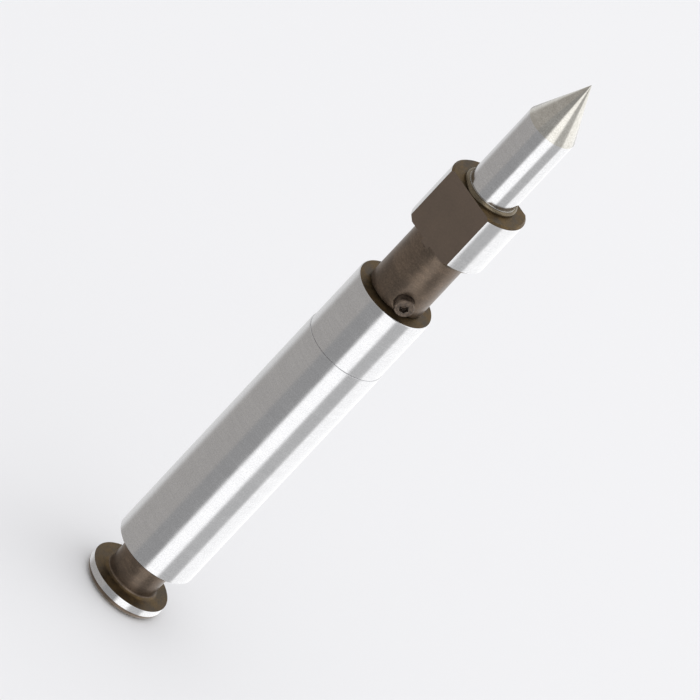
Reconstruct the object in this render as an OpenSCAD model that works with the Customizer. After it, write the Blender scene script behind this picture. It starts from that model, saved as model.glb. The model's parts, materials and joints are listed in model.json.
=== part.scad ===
// Slim live center with a straight ground shank.
// The point and its spindle turn on a needle bearing, a thrust bearing and a rear ball bearing.
// The axis is +Z. The origin is the middle of the tail button's flat end, and the tip is the top.

/* [Shank sleeve] */
// Diameter of the ground shank
shank_d = 20; // [19.6:0.1:30]
// Length of the shank sleeve
shank_len = 69.3; // [56:0.1:160]
// Chamfer on the ends of the shank sleeve
shank_chamfer = 0.3; // [0.1:0.05:0.8]

/* [Tail button] */
// Diameter of the button
button_d = 19.8; // [15:0.1:30]
// Thickness of the button
button_t = 3.4; // [2:0.1:8]
// Rounding of the button's back edge
button_round = 1.6; // [0.2:0.1:1.9]
// Diameter of the neck in front of the button
tail_neck_d = 12.4; // [11:0.1:13.6]
// Length of the neck in front of the button
tail_neck_len = 9.4; // [5:0.1:20]
// Fillet where the neck meets the button
tail_fillet = 0.9; // [0.2:0.1:1.3]
// Thread diameter of the tail button's stud
tail_thread_d = 10; // [8:0.5:10.5]
// Length of the tail button's stud
tail_thread_len = 10; // [6:0.5:16]
// Thread pitch of the stud
tail_thread_pitch = 1.5; // [1:0.25:1.75]

/* [Front bearing cap] */
// Diameter of the cap
cap_d = 19.6; // [19.2:0.1:30]
// Visible length of the cap
cap_len = 17.6; // [16:0.1:30]
// Thread diameter of the cap's spigot
cap_thread_d = 18; // [17.4:0.1:18.4]
// Length of the cap's spigot
cap_thread_len = 7; // [5:0.1:12]
// Thread pitch of the spigot
cap_thread_pitch = 1; // [0.75:0.25:1.5]
// Thickness of the wall in front of the shaft seal
cap_lip_t = 2.6; // [1.5:0.1:4]
// Thickness of the wall between the shaft seal and the needle bearing
cap_web_t = 0.8; // [0.6:0.1:2]
// Chamfer on the cap's edges
cap_chamfer = 0.2; // [0.1:0.05:0.4]

/* [Spindle] */
// Diameter of the neck in front of the cap
neck_d = 14.2; // [13.4:0.1:16]
// Length from the cap's face to the collar
neck_len = 17.8; // [8:0.1:40]
// Gap between the cap's face and the neck
neck_gap = 0.4; // [0.2:0.05:0.5]
// Diameter of the ground collar
collar_d = 20; // [17:0.1:30]
// Length of the collar
collar_len = 15.8; // [8:0.1:30]
// Width across the two wrench flats
wrench_af = 14; // [13:0.1:16]
// How far the flats run out past the collar onto the neck
flat_runout = 1; // [0.5:0.1:3]
// Chamfer on the collar's back edge
collar_back_chamfer = 0.9; // [0.2:0.1:1.4]
// Chamfer on the collar's front edge
collar_front_chamfer = 0.5; // [0.2:0.1:1.2]
// Diameter of the land that the shaft seal runs on
seal_land_d = 12; // [11.6:0.1:12.6]
// Diameter of the stem that carries the thrust bearing
stem_d = 8; // [7.6:0.1:8.2]
// Diameter of the threaded tail that carries the rear bearing
tail_d = 6; // [5.6:0.1:6.4]
// Thread pitch of the tail
tail_pitch = 0.75; // [0.5:0.25:1]

/* [Point] */
// Diameter of the ground nose
nose_d = 12.2; // [9:0.1:13]
// Length of the nose up to the cone
nose_len = 22; // [8:0.1:40]
// Angle of the cone, measured across the tip
cone_angle = 47.5; // [30:0.5:90]
// Diameter of the shoulder ring at the foot of the nose
shoulder_d = 13.8; // [13.2:0.1:13.9]
// Thickness of the shoulder ring
shoulder_t = 1; // [0.6:0.1:2]
// Diameter of the point's plain tail
point_tail_d = 8; // [6:0.1:8.6]
// Depth of the groove that the lock screw grips
point_groove_depth = 0.5; // [0.3:0.05:0.8]

/* [Lock screw] */
// Thread diameter of the lock screw
screw_d = 2.5; // [2:0.1:3]
// Diameter of the screw's head
screw_head_d = 4.5; // [3.8:0.1:5]
// Height of the screw's head
screw_head_t = 2.4; // [1.6:0.1:2.8]
// Width across the hexagonal socket
screw_socket_af = 2; // [1.5:0.1:2.5]
// Distance from the cap's face to the screw's axis
screw_above_face = 3.2; // [3.2:0.1:6]
// Angle of the screw about the axis, from +X
screw_angle = -44; // [-180:1:180]

/* [Needle bearing] */
// Diameter of the journal that the needles run on
journal_d = 10; // [9.4:0.1:10.2]
// Diameter of one needle
needle_d = 1.46; // [1.2:0.02:1.5]
// Length of one needle
needle_len = 7.8; // [5:0.1:9]
// Number of needles
needle_count = 12; // [8:1:14]
// Wall of the drawn cup
cup_wall = 0.5; // [0.3:0.05:0.6]

/* [Thrust bearing] */
// Outer diameter of the thrust bearing
thrust_od = 16; // [15.4:0.1:16.4]
// Total thickness of the thrust bearing
thrust_t = 5; // [4.6:0.1:7]
// Diameter of one ball
thrust_ball_d = 2.38; // [2:0.02:2.6]
// Number of balls
thrust_ball_count = 10; // [6:1:11]
// Space between the two washers
thrust_gap = 1.9; // [1.7:0.1:2]

/* [Rear ball bearing] */
// Outer diameter of the rear bearing
rear_od = 13; // [12.8:0.1:14]
// Width of the rear bearing
rear_w = 5; // [4.5:0.1:7]
// Diameter of one ball
rear_ball_d = 2; // [1.8:0.05:2.1]
// Number of balls
rear_ball_count = 8; // [6:1:9]

/* [Preload] */
// Thickness of one disc spring
spring_t = 0.5; // [0.3:0.05:0.8]
// Cone height of one disc spring
spring_h = 0.35; // [0.1:0.05:0.6]
// Wall of the spacer tube
spacer_wall = 1.5; // [1:0.1:1.8]
// Thickness of the lock washer
washer_t = 1; // [0.5:0.1:2]
// Width across the flats of the nuts
nut_af = 10; // [8:0.1:10.5]
// Thickness of the preload nut
nut_t = 4; // [3:0.1:6]
// Thickness of the jam nut
jam_t = 3; // [2:0.1:4]

/* [Fits] */
// Gap on the radius between a rolling piece and its track
roll_gap = 0.02; // [0.01:0.01:0.04]
// Gap on the radius between the seal and the spindle
seal_gap = 0.03; // [0.02:0.01:0.08]
// Gap on the radius of a sliding fit
slip_gap = 0.01; // [0.01:0.01:0.05]
// Gap on the radius of a screw thread
thread_gap = 0.05; // [0.03:0.01:0.15]
// Gap between neighbours that turn at different speeds
free_gap = 0.4; // [0.3:0.05:0.6]

/* [Hidden] */
$fn = 96;
SPRINGS = 4;

// Colours of the finishes
GROUND = [0.80, 0.80, 0.81];
DARK = [0.34, 0.29, 0.25];
BEARING = [0.70, 0.71, 0.73];
CAGE = [0.72, 0.56, 0.28];
SPRING = [0.45, 0.46, 0.50];
RUBBER = [0.08, 0.08, 0.08];
SCREW = [0.26, 0.23, 0.21];

// Heights of the outside, from the tail to the tip
z_sleeve = button_t + tail_neck_len;
z_joint = z_sleeve + shank_len;
z_face = z_joint + cap_len;
z_neck = z_face + neck_gap;
z_collar = z_face + neck_len;
z_seat = z_collar + collar_len;
z_cone = z_seat + nose_len;
z_tip = z_cone + nose_d / 2 / tan(cone_angle / 2);

// Front of the bearing stack, worked out back from the cap's face
o_ring_r = 0.58;
o_ring_groove_w = 1.6;
o_ring_groove_d = 2.4;
seal_w = 2.2;
seal_groove_d = 14.4;
z_seal = z_face - cap_lip_t - seal_w;
z_cup_front = z_seal - cap_web_t;
cup_len = needle_len + 2 * (cup_wall + 0.6);
z_cup = z_cup_front - cup_len;
needle_orbit = journal_d / 2 + roll_gap + needle_d / 2;
cup_track_r = needle_orbit + needle_d / 2 + roll_gap;
cup_r = cup_track_r + cup_wall;
z_spigot = z_joint - cap_thread_len;

// Thrust bearing, just behind the cap's spigot
z_thrust_front = z_spigot - free_gap - 0.1;
z_thrust = z_thrust_front - thrust_t;
z_thrust_mid = z_thrust + thrust_t / 2;
thrust_orbit = (thrust_od + stem_d) / 4;
thrust_washer_t = (thrust_t - thrust_gap) / 2;

// Rear of the bearing stack, worked out forward from the stud's end
z_stud = z_sleeve + tail_thread_len;
z_bore = z_stud + 0.5;
z_tail = z_stud + 1;
z_jam = z_tail + 0.5;
z_nut = z_jam + jam_t;
z_washer = z_nut + nut_t;
z_rear = z_washer + washer_t;
z_springs = z_rear + rear_w;
spring_pitch = spring_t + spring_h;
z_spacer = z_springs + SPRINGS * spring_pitch;
spacer_r = rear_od / 2 - 0.05;

// Sections of the rear bearing
rear_orbit = (rear_od + tail_d) / 4;
rear_track_r = rear_ball_d / 2 + roll_gap;
rear_land = 0.7 * rear_ball_d / 2;
shield_t = 0.25;

// Socket for the point's tail
z_screw = z_face + screw_above_face;
z_point_tail = z_screw - screw_d / 2 - 1;
z_socket = z_point_tail - 0.5;
screw_seat_r = neck_d / 2 - 0.4;
groove_r = point_tail_d / 2 - point_groove_depth;

module turned() { rotate_extrude() children(); }

// Ring from radius r0 to r1, standing on height z
module ring(r0, r1, z, h) {
    translate([0, 0, z]) turned() translate([r0, 0]) square([r1 - r0, h]);
}

// Ring whose four edges are chamfered
module soft_ring(r0, r1, z, h, c) {
    translate([0, 0, z]) turned() polygon([
        [r0, c], [r0 + c, 0], [r1 - c, 0], [r1, c],
        [r1, h - c], [r1 - c, h], [r0 + c, h], [r0, h - c]
    ]);
}

// Outline points of a screw thread that climbs from z0 to z1, all with the same ring-shaped ridges
function thread_points(r, pitch, z0, z1) =
    let (turns = floor((z1 - z0) / pitch), root = r - 0.6 * pitch)
    [for (i = [0 : turns - 1], p = [[root, 0], [root, 0.1], [r, 0.45], [r, 0.55], [root, 0.9]])
        [p[0], z0 + (i + p[1]) * pitch]];

// Pieces spaced evenly on a circle
module around(count, radius) {
    for (i = [0 : count - 1]) rotate([0, 0, i * 360 / count]) translate([radius, 0, 0]) children();
}

// Ring-shaped track that a ball rolls in
module ball_track(orbit, z, ball_r) {
    translate([0, 0, z]) turned() translate([orbit, 0]) circle(ball_r + roll_gap);
}

module nut(z, t) {
    chamfer = 0.5;
    corner_r = nut_af / 2 / cos(30);
    difference() {
        intersection() {
            translate([0, 0, z]) cylinder(r = corner_r, h = t, $fn = 6);
            translate([0, 0, z]) turned() polygon([
                [0, 0], [corner_r - chamfer, 0], [corner_r, chamfer],
                [corner_r, t - chamfer], [corner_r - chamfer, t], [0, t]
            ]);
        }
        translate([0, 0, z - 1]) cylinder(d = tail_d, h = t + 2);
    }
}

// Housing: the pieces that stay still in the tailstock

module tail_button() {
    neck_r = tail_neck_d / 2;
    rim_r = button_d / 2;
    stud_r = tail_thread_d / 2 - thread_gap;
    color(DARK) turned() {
        difference() {
            square([rim_r, button_t]);
            translate([rim_r - button_round, 0]) difference() {
                square(button_round);
                translate([0, button_round]) circle(button_round);
            }
        }
        translate([neck_r, button_t]) difference() {
            square(tail_fillet);
            translate([tail_fillet, tail_fillet]) circle(tail_fillet);
        }
        polygon(concat(
            [[0, button_t], [neck_r, button_t], [neck_r, z_sleeve]],
            thread_points(stud_r, tail_thread_pitch, z_sleeve, z_stud - 0.5),
            [[stud_r - tail_thread_pitch, z_stud], [0, z_stud]]
        ));
    }
}

module shank_sleeve() {
    r = shank_d / 2;
    c = shank_chamfer;
    bore_r = rear_od / 2 + slip_gap;
    thrust_r = thrust_od / 2 + slip_gap;
    color(GROUND) turned() difference() {
        polygon([
            [0, z_sleeve], [r - c, z_sleeve], [r, z_sleeve + c],
            [r, z_joint - c / 2], [r - c / 2, z_joint], [0, z_joint]
        ]);
        translate([0, z_sleeve - 1]) square([tail_thread_d / 2, z_bore - z_sleeve + 2]);
        translate([0, z_bore]) square([bore_r, z_joint]);
        translate([0, z_thrust]) square([thrust_r, z_joint]);
        translate([0, z_spigot - free_gap]) square([cap_thread_d / 2, z_joint]);
    }
}

module front_bearing_cap() {
    r = cap_d / 2;
    c = cap_chamfer;
    spigot_r = cap_thread_d / 2 - thread_gap;
    groove_r = cap_thread_d / 2 - o_ring_groove_d / 2;
    lip_r = seal_land_d / 2 + 0.1;
    color(GROUND) turned() difference() {
        polygon(concat(
            [[0, z_spigot]],
            thread_points(spigot_r, cap_thread_pitch, z_spigot, z_joint - o_ring_groove_w),
            [
                [groove_r, z_joint - o_ring_groove_w], [groove_r, z_joint],
                [r - c, z_joint], [r, z_joint + c], [r, z_face - c], [r - c, z_face], [0, z_face]
            ]
        ));
        translate([0, z_spigot - 1]) square([cup_r, z_cup_front - z_spigot + 1]);
        translate([0, z_seal]) square([seal_groove_d / 2, seal_w]);
        translate([0, z_spigot - 1]) square([lip_r, z_face]);
    }
}

module cap_o_ring() {
    color(RUBBER) translate([0, 0, z_joint - o_ring_groove_w / 2]) turned()
        translate([cap_thread_d / 2 - o_ring_groove_d / 4, 0]) circle(o_ring_r);
}

module shaft_seal() {
    lip_r = seal_land_d / 2 + seal_gap;
    outer_r = seal_groove_d / 2;
    color(RUBBER) translate([0, 0, z_seal]) turned() polygon([
        [lip_r, 0.1], [outer_r, 0], [outer_r, seal_w], [lip_r, seal_w - 0.1],
        [lip_r, seal_w - 0.4], [(lip_r + outer_r) / 2, seal_w / 2], [lip_r, 0.4]
    ]);
}

// Front needle bearing

module needle_cup() {
    lip_r = journal_d / 2 + 0.4;
    color(BEARING) {
        ring(cup_track_r, cup_r, z_cup, cup_len);
        ring(lip_r, cup_track_r, z_cup, cup_wall);
        ring(lip_r, cup_track_r, z_cup_front - cup_wall, cup_wall);
    }
}

module needle_cage() {
    rail = 0.4;
    side_gap = 0.25;
    cage_z = z_cup + cup_wall + side_gap - 0.05;
    cage_h = cup_len - 2 * (cup_wall + side_gap - 0.05);
    pocket_z = z_cup + (cup_len - needle_len) / 2 - 0.05;
    color(CAGE) difference() {
        ring(needle_orbit - rail - 0.1, needle_orbit + rail + 0.1, cage_z, cage_h);
        around(needle_count, needle_orbit)
            translate([0, 0, pocket_z]) cylinder(d = needle_d + 0.06, h = needle_len + 0.1);
    }
}

module needle_rollers() {
    color(BEARING) around(needle_count, needle_orbit)
        translate([0, 0, z_cup + (cup_len - needle_len) / 2]) cylinder(d = needle_d, h = needle_len);
}

// Thrust bearing

module thrust_shaft_washer() {
    color(BEARING) difference() {
        soft_ring(stem_d / 2, thrust_od / 2 - 0.1, z_thrust_front - thrust_washer_t, thrust_washer_t, 0.15);
        ball_track(thrust_orbit, z_thrust_mid, thrust_ball_d / 2);
    }
}

module thrust_housing_washer() {
    color(BEARING) difference() {
        soft_ring(stem_d / 2 + 0.2, thrust_od / 2, z_thrust, thrust_washer_t, 0.15);
        ball_track(thrust_orbit, z_thrust_mid, thrust_ball_d / 2);
    }
}

module thrust_cage() {
    cage_t = 0.8;
    color(CAGE) difference() {
        ring(stem_d / 2 + 0.3, thrust_od / 2 - 0.3, z_thrust_mid - cage_t / 2, cage_t);
        around(thrust_ball_count, thrust_orbit)
            translate([0, 0, z_thrust_mid - cage_t]) cylinder(d = thrust_ball_d + 0.06, h = 2 * cage_t);
    }
}

module thrust_balls() {
    color(BEARING) around(thrust_ball_count, thrust_orbit)
        translate([0, 0, z_thrust_mid]) sphere(d = thrust_ball_d);
}

// Preload: spacer tube and disc springs

module spacer_tube() {
    color(SPRING) ring(spacer_r - spacer_wall, spacer_r, z_spacer, z_thrust - z_spacer);
}

// Disc spring number i; every second one is turned over
module disc_spring(i) {
    inner_r = stem_d / 2 + 0.2;
    outer_r = rear_od / 2 - 0.2;
    rise = i % 2 == 1 ? [spring_h, 0] : [0, spring_h];
    color(SPRING) translate([0, 0, z_springs + (i - 1) * spring_pitch]) turned() polygon([
        [inner_r, rise[0]], [outer_r, rise[1]],
        [outer_r, rise[1] + spring_t], [inner_r, rise[0] + spring_t]
    ]);
}

// Rear ball bearing

module rear_outer_ring() {
    color(BEARING) difference() {
        soft_ring(rear_orbit + rear_land, rear_od / 2, z_rear, rear_w, 0.15);
        ball_track(rear_orbit, z_rear + rear_w / 2, rear_ball_d / 2);
    }
}

module rear_inner_ring() {
    color(BEARING) difference() {
        soft_ring(tail_d / 2, rear_orbit - rear_land, z_rear, rear_w, 0.15);
        ball_track(rear_orbit, z_rear + rear_w / 2, rear_ball_d / 2);
    }
}

module rear_cage() {
    cage_w = 1.3 * rear_ball_d;
    color(CAGE) difference() {
        ring(rear_orbit - 0.5, rear_orbit + 0.5, z_rear + (rear_w - cage_w) / 2, cage_w);
        around(rear_ball_count, rear_orbit)
            translate([0, 0, z_rear + rear_w / 2]) sphere(d = rear_ball_d + 0.12);
    }
}

module rear_balls() {
    color(BEARING) around(rear_ball_count, rear_orbit)
        translate([0, 0, z_rear + rear_w / 2]) sphere(d = rear_ball_d);
}

module rear_shield(z) {
    color(SPRING) ring(rear_orbit - rear_land + 0.2, rear_orbit + rear_land, z, shield_t);
}

module rear_shield_front() { rear_shield(z_springs - 0.2 - shield_t); }
module rear_shield_back() { rear_shield(z_rear + 0.2); }

// Spindle group: everything that turns with the point

module lock_washer() {
    color(SPRING) ring(tail_d / 2, rear_orbit - rear_land - 0.1, z_washer, washer_t);
}

module preload_nut() { color(DARK) nut(z_nut, nut_t); }
module jam_nut() { color(DARK) nut(z_jam, jam_t); }

module spindle() {
    collar_r = collar_d / 2;
    neck_r = neck_d / 2;
    thread_r = tail_d / 2 - thread_gap;
    socket_r = point_tail_d / 2 + slip_gap;
    seat_r = screw_head_d / 2 + 0.15;
    c = collar_front_chamfer;
    b = collar_back_chamfer;
    flat_len = collar_len + flat_runout + 1;
    color(DARK) difference() {
        turned() polygon(concat(
            [[0, z_tail]],
            thread_points(thread_r, tail_pitch, z_tail, z_washer),
            [
                [tail_d / 2 - slip_gap, z_washer], [tail_d / 2 - slip_gap, z_springs],
                [stem_d / 2 - slip_gap, z_springs], [stem_d / 2 - slip_gap, z_thrust_front],
                [journal_d / 2, z_thrust_front], [journal_d / 2, z_cup_front + free_gap],
                [seal_land_d / 2, z_cup_front + free_gap], [seal_land_d / 2, z_neck],
                [neck_r - 0.2, z_neck], [neck_r, z_neck + 0.2], [neck_r, z_collar],
                [collar_r - b, z_collar], [collar_r, z_collar + b],
                [collar_r, z_seat - c], [collar_r - c, z_seat],
                [socket_r, z_seat], [socket_r, z_socket], [0, z_socket]
            ]
        ));
        for (side = [-1, 1]) translate([0, side * (wrench_af + collar_d) / 2, z_seat + 1 - flat_len / 2])
            cube([2 * collar_d, collar_d, flat_len], center = true);
        rotate([0, 0, screw_angle]) translate([0, 0, z_screw]) rotate([0, 90, 0]) turned() polygon([
            [0, groove_r], [screw_d / 2, groove_r], [screw_d / 2, screw_seat_r],
            [seat_r, screw_seat_r], [seat_r, collar_r], [0, collar_r]
        ]);
    }
}

module center_point() {
    nose_r = nose_d / 2;
    shoulder_r = shoulder_d / 2;
    tail_r = point_tail_d / 2;
    groove_h = screw_d / 2 + 0.1;
    edge = 0.7 * (shoulder_r - nose_r);
    color(GROUND) turned() {
        polygon([
            [0, z_point_tail], [tail_r - 0.4, z_point_tail], [tail_r, z_point_tail + 0.4],
            [tail_r, z_screw - groove_h], [groove_r, z_screw - groove_h],
            [groove_r, z_screw + groove_h], [tail_r, z_screw + groove_h],
            [tail_r, z_seat], [nose_r, z_seat], [nose_r, z_cone], [0, z_tip]
        ]);
        difference() {
            translate([0, z_seat]) square([shoulder_r, shoulder_t]);
            translate([shoulder_r - edge, z_seat + shoulder_t - edge]) difference() {
                square(edge);
                circle(edge);
            }
        }
    }
}

module point_lock_screw() {
    head_round = 0.4;
    head_r = screw_head_d / 2;
    top = screw_seat_r + screw_head_t;
    color(SCREW) rotate([0, 0, screw_angle]) translate([0, 0, z_screw]) rotate([0, 90, 0]) difference() {
        turned() {
            difference() {
                translate([0, screw_seat_r]) square([head_r, screw_head_t]);
                translate([head_r - head_round, top - head_round]) difference() {
                    square(head_round);
                    circle(head_round);
                }
            }
            polygon(concat(
                [[0, groove_r]],
                [[screw_d / 2 - 0.4, groove_r], [screw_d / 2 - 0.4, groove_r + 0.1]],
                thread_points(screw_d / 2 - thread_gap, 0.45, groove_r + 0.1, screw_seat_r),
                [[screw_d / 2 - 0.4, screw_seat_r], [0, screw_seat_r]]
            ));
        }
        translate([0, 0, top - 1.2])
            cylinder(r = screw_socket_af / 2 / cos(30), h = 2, $fn = 6);
    }
}

tail_button();
shank_sleeve();
front_bearing_cap();
cap_o_ring();
shaft_seal();
needle_cup();
needle_cage();
needle_rollers();
thrust_shaft_washer();
thrust_housing_washer();
thrust_cage();
thrust_balls();
spacer_tube();
disc_spring(1);  // disc_spring_1
disc_spring(2);  // disc_spring_2
disc_spring(3);  // disc_spring_3
disc_spring(4);  // disc_spring_4
rear_outer_ring();
rear_inner_ring();
rear_cage();
rear_balls();
rear_shield_front();
rear_shield_back();
lock_washer();
preload_nut();
jam_nut();
spindle();
center_point();
point_lock_screw();
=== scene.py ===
"""Looks of a slim straight-shank live center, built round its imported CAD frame.

The turned pieces that show are modelled again with fine edges and fillets, and every piece gets its
own procedural finish: ground steel, brown heat-treatment oxide, polished bearing steel, brass or rubber.
"""

import json
import logging
import math
from collections.abc import Callable
from dataclasses import dataclass
from enum import Enum
from functools import lru_cache

import bpy
from mathutils import Matrix, Vector

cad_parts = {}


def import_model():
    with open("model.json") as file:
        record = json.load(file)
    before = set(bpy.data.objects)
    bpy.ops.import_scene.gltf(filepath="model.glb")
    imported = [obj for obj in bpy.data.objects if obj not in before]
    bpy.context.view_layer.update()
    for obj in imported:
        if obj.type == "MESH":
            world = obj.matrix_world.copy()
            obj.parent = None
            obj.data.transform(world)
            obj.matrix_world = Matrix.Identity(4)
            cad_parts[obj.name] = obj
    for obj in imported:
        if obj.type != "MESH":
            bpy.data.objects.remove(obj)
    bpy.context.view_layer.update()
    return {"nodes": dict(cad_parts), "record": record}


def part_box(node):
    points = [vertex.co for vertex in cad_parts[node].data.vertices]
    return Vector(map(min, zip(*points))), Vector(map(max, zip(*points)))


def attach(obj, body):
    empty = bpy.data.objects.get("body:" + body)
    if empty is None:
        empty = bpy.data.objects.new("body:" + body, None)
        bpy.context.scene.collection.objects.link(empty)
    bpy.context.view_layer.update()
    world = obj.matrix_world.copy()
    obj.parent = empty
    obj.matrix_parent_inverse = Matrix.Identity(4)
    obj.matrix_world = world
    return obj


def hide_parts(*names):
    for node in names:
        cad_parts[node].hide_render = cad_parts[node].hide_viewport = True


log = logging.getLogger("live_center")

MM = 0.001
SEGMENTS = 192
SMALL_SEGMENTS = 72
ARC_STEPS = 8
SMOOTH_ANGLE = math.radians(35)
SHARP_ANGLE = math.radians(32)
MERGE_DISTANCE = 1e-7
TOLERANCE = 0.01
THREAD_PLAY = 0.05

# Depth of a thread, and where its ridge starts, peaks and ends, as shares of the pitch
THREAD_DEPTH = 0.6
FOOT_START, CREST_START, CREST_END, FOOT_END = 0.1, 0.45, 0.55, 0.9
ROUNDING = 1e-6

# Share of a face's normal that lies along an axis, for telling round, end and flat faces apart
ROUND_SHARE = 0.1
END_SHARE = 0.5
SQUARE_SHARE = 0.95
FLAT_SHARE = 0.999

# Sockets of a colour Mix node, and the kinds of socket that shader node groups have
MIX_SHARE, MIX_FIRST, MIX_SECOND, MIX_RESULT = 0, 6, 7, 2
VECTOR, FLOAT, COLOR = "NodeSocketVector", "NodeSocketFloat", "NodeSocketColor"

Ring = tuple[float, float]
Color = tuple[float, float, float]
Piece = bpy.types.Object
Node = bpy.types.Node
Socket = bpy.types.NodeSocket
Material = bpy.types.Material


# Small helpers


def deselect_all() -> None:
    """Leaves object mode with nothing selected."""
    if bpy.context.object and bpy.context.object.mode != "OBJECT":
        bpy.ops.object.mode_set(mode="OBJECT")
    bpy.ops.object.select_all(action="DESELECT")


def make_active(obj: Piece) -> None:
    """Selects one object alone and makes it active."""
    deselect_all()
    obj.select_set(True)
    bpy.context.view_layer.objects.active = obj


@lru_cache(maxsize=None)
def node_box(node: str) -> tuple[Vector, Vector]:
    """Lowest and highest corner of a CAD node, in millimetres, read once."""
    low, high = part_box(node)
    return low / MM, high / MM


def node_top(node: str) -> float:
    """Height of a CAD node's top, in millimetres."""
    return node_box(node)[1].z


def node_base(node: str) -> float:
    """Height of a CAD node's underside, in millimetres."""
    return node_box(node)[0].z


def node_radius(node: str) -> float:
    """Outer radius of a CAD node that is round about the axis, in millimetres."""
    return node_box(node)[1].x


def arc(centre: Ring, radius: float, start: float, end: float) -> list[Ring]:
    """Points of a rounded stretch of an outline.

    Args:
        centre: Radius and height of the arc's centre.
        radius: Radius of the arc.
        start: First angle in degrees, counted from straight outwards towards straight up.
        end: Last angle in degrees.

    Returns:
        The rings from the start to the end of the arc.
    """
    angles = [math.radians(start + (end - start) * i / ARC_STEPS) for i in range(ARC_STEPS + 1)]
    return [(centre[0] + radius * math.cos(a), centre[1] + radius * math.sin(a)) for a in angles]


def thread(radius: float, pitch: float, base: float, top: float) -> list[Ring]:
    """Outline of a screw thread's ridges between two heights, going up.

    Args:
        radius: Radius of the ridges' crests.
        pitch: Distance from one ridge to the next.
        base: Height where the thread starts.
        top: Height where the thread ends.

    Returns:
        The rings of the ridges.
    """
    root = radius - THREAD_DEPTH * pitch
    ridge = [(root, FOOT_START), (radius, CREST_START), (radius, CREST_END), (root, FOOT_END)]
    turns = int((top - base) / pitch + ROUNDING)
    return [(r, base + (i + share) * pitch) for i in range(turns) for r, share in ridge]


class Workshop:
    """The modelling operations that the turned pieces share."""

    @staticmethod
    def turn(name: str, outline: list[Ring], hollow: bool, segments: int = SEGMENTS) -> Piece:
        """Turns an outline about the axis, ring by ring.

        Args:
            name: Name of the new piece.
            outline: Radius and height of each ring, in millimetres. A last radius of 0 makes a tip.
            hollow: True to join the last ring to the first, False to cap the two ends.
            segments: Number of sides of each ring.

        Returns:
            The new piece, closed and with its faces outwards.
        """
        deselect_all()
        radius, height = outline[0]
        bpy.ops.mesh.primitive_circle_add(vertices=segments, radius=radius * MM)
        piece = bpy.context.object
        piece.name = name
        piece.data.name = name
        bpy.ops.object.mode_set(mode="EDIT")
        bpy.ops.mesh.select_all(action="SELECT")
        bpy.ops.transform.translate(value=(0, 0, height * MM))
        for next_radius, next_height in outline[1:]:
            rise = (next_height - height) * MM
            bpy.ops.mesh.extrude_region_move(TRANSFORM_OT_translate={"value": (0, 0, rise)})
            if next_radius == 0:
                bpy.ops.mesh.merge(type="CENTER")
            elif next_radius != radius:
                scale = next_radius / radius
                centre = (0, 0, next_height * MM)
                bpy.ops.transform.resize(value=(scale, scale, 1), center_override=centre)
            radius, height = next_radius, next_height
        bpy.ops.mesh.select_all(action="SELECT")
        bpy.ops.mesh.remove_doubles(threshold=MERGE_DISTANCE)
        if hollow:
            bpy.ops.mesh.select_all(action="DESELECT")
            bpy.ops.mesh.select_mode(type="EDGE")
            bpy.ops.mesh.select_non_manifold(extend=False)
            bpy.ops.mesh.bridge_edge_loops()
        else:
            bpy.ops.mesh.fill_holes(sides=0)
        bpy.ops.mesh.select_all(action="SELECT")
        bpy.ops.mesh.normals_make_consistent(inside=False)
        bpy.ops.object.mode_set(mode="OBJECT")
        return piece

    @staticmethod
    def cut(piece: Piece, cutter: Piece) -> None:
        """Cuts one piece with another, which is then thrown away."""
        make_active(piece)
        modifier = piece.modifiers.new("Cut", "BOOLEAN")
        modifier.operation = "DIFFERENCE"
        modifier.solver = "EXACT"
        modifier.object = cutter
        bpy.ops.object.modifier_apply(modifier=modifier.name)
        bpy.data.objects.remove(cutter)

    @staticmethod
    def block(size: Vector, centre: Vector) -> Piece:
        """Rectangular cutter, with its size and centre in metres."""
        deselect_all()
        bpy.ops.mesh.primitive_cube_add(size=1, location=centre, scale=size)
        bpy.ops.object.transform_apply(location=True, rotation=True, scale=True)
        return bpy.context.object

    @staticmethod
    def place(piece: Piece, matrix: Matrix) -> None:
        """Moves a piece's mesh, and leaves its object at the origin."""
        piece.data.transform(matrix)
        piece.data.update()

    @staticmethod
    def soften(piece: Piece, width: float, segments: int = 3, edge_slot: int = -1) -> None:
        """Breaks the sharp edges and shades the piece smooth.

        Args:
            piece: The piece to finish.
            width: Width of the broken edge, in millimetres.
            segments: Number of strips across the broken edge.
            edge_slot: Material slot of the broken edges, or -1 to go on with the faces beside them.
        """
        make_active(piece)
        bevel = piece.modifiers.new("Broken edges", "BEVEL")
        bevel.width = width * MM
        bevel.segments = segments
        bevel.limit_method = "ANGLE"
        bevel.angle_limit = SHARP_ANGLE
        bevel.use_clamp_overlap = True
        bevel.material = edge_slot
        bpy.ops.object.modifier_apply(modifier=bevel.name)
        bpy.ops.object.shade_smooth_by_angle(angle=SMOOTH_ANGLE)
        weighted = piece.modifiers.new("Even shading", "WEIGHTED_NORMAL")
        weighted.keep_sharp = True
        bpy.ops.object.modifier_apply(modifier=weighted.name)

    @staticmethod
    def dress(
        piece: Piece,
        materials: list[Material],
        choose: Callable[[float, float, Vector], int],
    ) -> None:
        """Gives each face of a piece one of several finishes.

        Args:
            piece: The piece to dress.
            materials: The finishes, in order.
            choose: Picks a finish from a face's radius and height in millimetres and its normal.
        """
        piece.data.materials.clear()
        for material in materials:
            piece.data.materials.append(material)
        for face in piece.data.polygons:
            corners = [piece.data.vertices[i].co for i in face.vertices]
            radius = sum(math.hypot(c.x, c.y) for c in corners) / len(corners) / MM
            height = sum(c.z for c in corners) / len(corners) / MM
            face.material_index = choose(radius, height, face.normal)


# Finishes


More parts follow.
